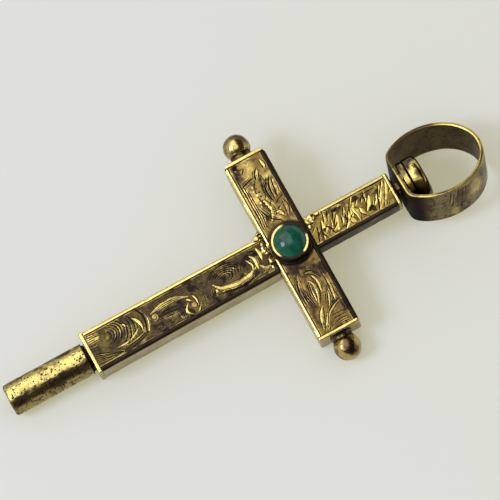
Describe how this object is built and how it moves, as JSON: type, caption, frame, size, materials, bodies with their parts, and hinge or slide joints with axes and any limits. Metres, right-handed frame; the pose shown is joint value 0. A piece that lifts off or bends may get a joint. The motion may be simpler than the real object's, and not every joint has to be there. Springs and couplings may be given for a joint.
{
  "type": "watch key",
  "caption": "Cross-shaped watch key: boxed engraved arms, a round stone in a collet, a square-socket winding pipe and an oval bow that swivels on its post.",
  "frame": {"origin": "on the winding pipe's axis, in the plane of its mouth", "axes": "+X along the key from the pipe's mouth to the bow, +Y along the cross bar, +Z out of the engraved face"},
  "size_m": [0.0518, 0.0252, 0.0074],
  "materials": {
    "engraved_gilt": "engraved gilt, dark patina in the cuts",
    "bright_cut_gilt": "bright-cut gilt, dark in the cuts",
    "box_gilt": "worn polished gilt with dull patches",
    "pipe_metal": "pitted, worn gilt with dark spots",
    "finial_gilt": "polished gilt, darkened in the necks",
    "collet_gilt": "polished gilt rim, dark below",
    "swivel_gilt": "worn gilt, dark in the steps",
    "bow_bronze": "brown tarnished gilt with bright rubbed rims",
    "inner_brass": "plain brass, hidden",
    "green_stone": "smooth polished green stone"
  },
  "bodies": {
    "key": {"winding_pipe": "pipe_metal", "spigot_block": "inner_brass", "lower_arm_end_plate": "box_gilt", "lower_arm_channel": "box_gilt", "lower_arm_face": "engraved_gilt", "crossbar_channel": "box_gilt", "crossbar_face": "engraved_gilt", "crossbar_end_left": "box_gilt", "crossbar_end_right": "box_gilt", "finial_collar_left": "finial_gilt", "finial_collar_right": "finial_gilt", "finial_ball_left": "finial_gilt", "finial_ball_right": "finial_gilt", "collet_foot": "collet_gilt", "collet_bezel": "collet_gilt", "stone_bearer": "inner_brass", "cabochon": "green_stone", "upper_arm_channel": "box_gilt", "upper_arm_face": "bright_cut_gilt", "upper_arm_end_plug": "box_gilt", "post_block": "inner_brass", "swivel_post": "swivel_gilt", "swivel_shoulder": "swivel_gilt", "swivel_washer": "swivel_gilt", "swivel_head": "swivel_gilt"},
    "bow": {"bow_ring": "bow_bronze"}
  },
  "joints": [
    {"name": "bow_swivel", "type": "hinge", "parent": "key", "child": "bow", "pos_m": [0.04289, 0, 0], "axis": [1, 0, 0], "continuous": true}
  ]
}
